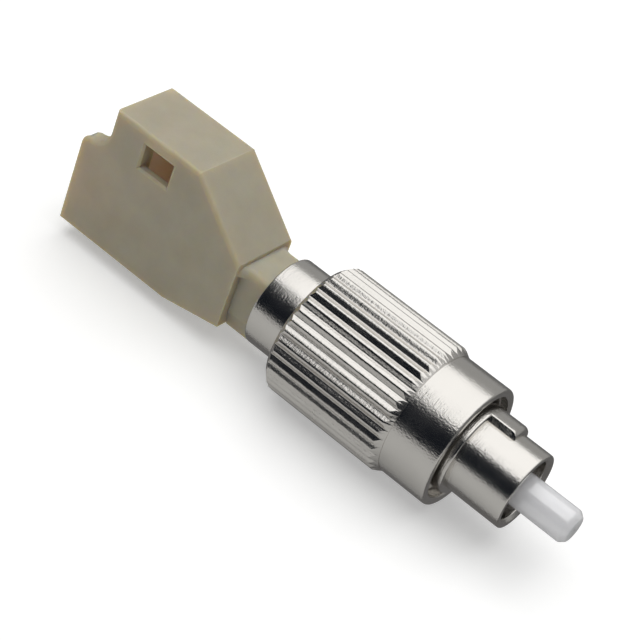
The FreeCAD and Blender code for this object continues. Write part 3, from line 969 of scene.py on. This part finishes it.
class ADAPTER_OT_spring(bpy.types.Operator):
    """Build the ferrule's coil spring"""

    bl_idname = "adapter.spring"
    bl_label = "Ferrule spring"

    def execute(self, context):
        size = context.scene.adapter_spring
        start = size.seat + size.wire_radius + size.end_gap
        end = size.flange - size.wire_radius - size.end_gap
        values = {
            "Turns": size.turns,
            "Radius": size.coil_radius,
            "Length": end - start,
            "Start": start,
            "Wire radius": size.wire_radius,
            "Points round the wire": WIRE_SEGMENTS,
            "Points per turn": COIL_SEGMENTS,
        }
        piece = tree_piece("wound_spring", spring_tree(), values, finish_of(drawn_spring_steel))
        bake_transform(piece)
        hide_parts("ferrule_spring")
        return {"FINISHED"}


class ADAPTER_OT_inside(bpy.types.Operator):
    """Finish the parts inside the adapter"""

    bl_idname = "adapter.inside"
    bl_label = "Inner parts"

    def execute(self, context):
        inner_finishes = {
            "lc_split_sleeve": ground_zirconia,
            "lc_stub_ferrule": ground_zirconia,
            "lc_sleeve_holder": plain_white_plastic,
            "lc_sleeve_cap": plain_white_plastic,
            "nut_retaining_ring": drawn_spring_steel,
            "ferrule_carrier": turned_nickel,
            "fibre_stub": fibre_glass,
        }
        for node, make in inner_finishes.items():
            paint_node(node, finish_of(make))
        return {"FINISHED"}


def plane_mesh(name, corners):
    """One flat face through the given corners."""
    mesh = bpy.data.meshes.new(name)
    mesh.from_pydata(corners, [], [tuple(range(len(corners)))])
    return mesh


def level_by_ray(tree, seen, mirrored, spreading):
    """Level for rays from the camera or through glass, for rays off metal, and for light that spreads."""
    path = add_node(tree, "ShaderNodeLightPath").outputs
    rays = {0: path["Is Camera Ray"], 1: path["Is Transmission Ray"]}
    clear = add_node(tree, "ShaderNodeMath", {"operation": "MAXIMUM"}, rays).outputs[0]
    indirect = {"Value": path["Is Glossy Ray"], "To Min": spreading, "To Max": mirrored}
    rest = add_node(tree, "ShaderNodeMapRange", inputs=indirect).outputs["Result"]
    direct = {"Value": clear, "To Min": rest, "To Max": seen}
    return add_node(tree, "ShaderNodeMapRange", inputs=direct).outputs["Result"]


def emptied(block):
    """A new material or world with an empty node tree."""
    block.use_nodes = True
    block.node_tree.nodes.clear()
    return block, block.node_tree


def pale_floor(stage):
    """Matt white floor that looks white where nothing shades it and keeps a soft shadow. Metal mirrors it in
    a darker tone and with less glow, which paints shade into its reflections.
    """
    material, tree = emptied(bpy.data.materials.new("Matt white floor"))
    mirror = add_node(tree, "ShaderNodeLightPath").outputs["Is Glossy Ray"]
    # Painted shade in reflections: rays off metal see the floor in the darker mirrored tone
    tones = {"Fac": mirror, "Color1": stage.floor_tone, "Color2": stage.painted_floor_reflection}
    tone = add_node(tree, "ShaderNodeMixRGB", inputs=tones).outputs["Color"]
    matt = add_node(tree, "ShaderNodeBsdfDiffuse", inputs={"Color": tone}).outputs[0]
    # Painted reflection: rays off metal get less of the floor's glow than the camera sees
    level = level_by_ray(tree, stage.floor_glow, stage.painted_reflection_glow, 0.0)
    glow = add_node(tree, "ShaderNodeEmission", inputs={"Strength": level}).outputs[0]
    both = add_node(tree, "ShaderNodeAddShader", inputs={0: matt, 1: glow}).outputs[0]
    add_node(tree, "ShaderNodeOutputMaterial", inputs={"Surface": both})
    return material


def card_material(name, tint, level=1.0):
    """Even glowing card that only reflections see, as bright as its colour times its level: a painted
    reflection.
    """
    material, tree = emptied(bpy.data.materials.new(name))
    glow = add_node(tree, "ShaderNodeEmission", inputs={"Color": tint, "Strength": level}).outputs[0]
    add_node(tree, "ShaderNodeOutputMaterial", inputs={"Surface": glow})
    return material


def level_corners(low, high, z):
    """Corners of a level rectangle from its low to its high corner."""
    return [(low[0], low[1], z), (high[0], low[1], z), (high[0], high[1], z), (low[0], high[1], z)]


def upright(foot_start, foot_end, bottom, top):
    """Corners of an upright card over a line on the floor."""
    return [(*foot_start, bottom), (*foot_end, bottom), (*foot_end, top), (*foot_start, top)]


def add_card(name, corners, material):
    """Card that shows only in reflections: a painted reflection that lights and shades nothing."""
    card = new_piece(name, plane_mesh(name, corners), material)
    card.visible_camera = False
    card.visible_diffuse = False
    card.visible_transmission = False
    card.visible_shadow = False


def light_room(stage):
    """World: a plain fill light, seen as white behind the floor. Metal mirrors it brighter than it lights
    anything, a painted reflection.
    """
    world, tree = emptied(bpy.data.worlds.new("Plain studio room"))
    level = level_by_ray(tree, 1.0, stage.painted_room_reflection, stage.room_level)
    white = {"Color": linear("FFFFFF"), "Strength": level}
    glow = add_node(tree, "ShaderNodeBackground", inputs=white).outputs[0]
    add_node(tree, "ShaderNodeOutputWorld", inputs={"Surface": glow})
    bpy.context.scene.world = world


def hang_lamp(stage):
    """Large overhead soft box, which metal does not mirror. Metal mirrors instead a glowing card in its
    place, a painted reflection of the soft box.
    """
    lamp = bpy.data.lights.new("Overhead soft box", "AREA")
    lamp.shape = "RECTANGLE"
    lamp.size = stage.lamp_length
    lamp.size_y = stage.lamp_depth
    # An area lamp's radiance is its power shared over its area times pi
    lamp.energy = stage.lamp_radiance * math.pi * stage.lamp_length * stage.lamp_depth
    lamp_object = bpy.data.objects.new("Overhead soft box", lamp)
    lamp_object.location = (stage.lamp_x, stage.lamp_y, stage.lamp_height)
    lamp_object.visible_camera = False
    # Metal mirrors the painted lamp reflection card instead of this lamp
    lamp_object.visible_glossy = False
    bpy.context.scene.collection.objects.link(lamp_object)


def place_camera(stage):
    """Camera at the photograph's angle: in front, above, and rolled about its own axis."""
    camera = bpy.data.cameras.new("Camera")
    camera.lens = stage.lens
    camera.sensor_width = SENSOR_WIDTH
    camera.clip_start = NEAREST_SEEN
    camera.clip_end = FARTHEST
    back = CAMERA_BACK.normalized()
    up = back.cross(CAMERA_RIGHT).normalized()
    right = up.cross(back)
    turn = Matrix((right, up, back)).transposed().to_4x4()
    camera_object = bpy.data.objects.new("Camera", camera)
    camera_object.matrix_world = Matrix.Translation(CAMERA_PLACE) @ turn
    bpy.context.scene.collection.objects.link(camera_object)
    bpy.context.scene.camera = camera_object


class ADAPTER_OT_stage(bpy.types.Operator):
    """Set up the floor, the cards, the lamp and the camera"""

    bl_idname = "adapter.stage"
    bl_label = "Studio"

    def execute(self, context):
        stage = context.scene.adapter_stage
        half = stage.floor_size / 2
        z = stage.floor_height
        floor = plane_mesh("studio_floor", level_corners((-half, -half), (half, half), z))
        new_piece("studio_floor", floor, pale_floor(stage))
        # Painted reflections: glowing cards that only metal sees, which light and shade nothing
        dark = card_material("Black reflection card", stage.dark_card)
        grey = card_material("Grey card", stage.grey_card)
        side = stage.card_width / 2
        near = stage.dark_card_y
        far = stage.grey_card_y
        end = stage.end_card_x
        add_card("dark_card", upright((-side, near), (side, near), z, stage.dark_card_top), dark)
        add_card("grey_card", upright((-side, far), (side, far), z, stage.grey_card_top), grey)
        # Painted grey reflections at both ends of the adapter
        dull = card_material("End card", stage.end_card)
        add_card("plug_end_card", upright((end, near), (end, far), z, stage.end_card_top), dull)
        add_card("socket_end_card", upright((-end, near), (-end, far), z, stage.end_card_top), dull)
        lamp_middle = Vector((stage.lamp_x, stage.lamp_y))
        lamp_half = Vector((stage.lamp_length, stage.lamp_depth)) / 2
        # Painted reflection of the soft box: a glowing card in the lamp's place that only metal sees
        lamp_reflection_card = card_material("Diffuser", linear("FFFFFF"), stage.mirrored_lamp)
        lit = level_corners(lamp_middle - lamp_half, lamp_middle + lamp_half, stage.lamp_height)
        add_card("lamp_reflection_card", lit, lamp_reflection_card)
        # Painted shade: a black card over part of the painted lamp reflection, seen only by metal
        hung = stage.lamp_height - stage.hung_card_gap
        inner = (stage.hung_card_x, stage.hung_card_y)
        add_card("hung_reflection_card", level_corners((-side, -side), inner, hung), dark)
        # Painted floor shadow in reflections: metal sees this grey card instead of the floor under and behind
        # the adapter
        low = card_material("Low card", stage.low_card)
        low_z = z + stage.low_card_lift
        add_card("low_card", level_corners((-side, stage.low_card_y), (side, far), low_z), low)
        hang_lamp(stage)
        light_room(stage)
        place_camera(stage)
        context.scene.view_settings.view_transform = "Standard"
        return {"FINISHED"}


GROUPS = {
    "adapter_nut": NutSizes,
    "adapter_barrel": BarrelSizes,
    "adapter_plug": PlugSizes,
    "adapter_ferrule": FerruleSizes,
    "adapter_spring": SpringSizes,
    "adapter_finishes": Finishes,
    "adapter_stage": StageSizes,
}

OPERATORS = [
    ADAPTER_OT_stage,
    ADAPTER_OT_housing,
    ADAPTER_OT_barrel,
    ADAPTER_OT_plug,
    ADAPTER_OT_nut,
    ADAPTER_OT_thread,
    ADAPTER_OT_ferrule,
    ADAPTER_OT_spring,
    ADAPTER_OT_inside,
]


class ADAPTER_PT_panel(bpy.types.Panel):
    """Lists the adapter's pieces, sizes and colours"""

    bl_idname = "ADAPTER_PT_panel"
    bl_label = "Fibre adapter"
    bl_space_type = "VIEW_3D"
    bl_region_type = "UI"
    bl_category = "Adapter"

    def draw(self, context):
        for operator in OPERATORS:
            self.layout.operator(operator.bl_idname)
        for name, group in GROUPS.items():
            box = self.layout.box()
            box.label(text=group.__doc__)
            for key in group.__annotations__:
                box.prop(getattr(context.scene, name), key)


def register():
    """Makes the groups, the operators and the panel known to Blender."""
    for group in GROUPS.values():
        bpy.utils.register_class(group)
    for name, group in GROUPS.items():
        setattr(bpy.types.Scene, name, bpy.props.PointerProperty(type=group))
    for operator in OPERATORS:
        bpy.utils.register_class(operator)
    bpy.utils.register_class(ADAPTER_PT_panel)


def unregister():
    """Takes them out again, in reverse order."""
    bpy.utils.unregister_class(ADAPTER_PT_panel)
    for operator in reversed(OPERATORS):
        bpy.utils.unregister_class(operator)
    for name in GROUPS:
        delattr(bpy.types.Scene, name)
    for group in reversed(GROUPS.values()):
        bpy.utils.unregister_class(group)


def main():
    """Makes the add-on known and builds every part in order."""
    register()
    for operator in OPERATORS:
        group, name = operator.bl_idname.split(".")
        getattr(getattr(bpy.ops, group), name)()


if __name__ == "__main__":
    main()
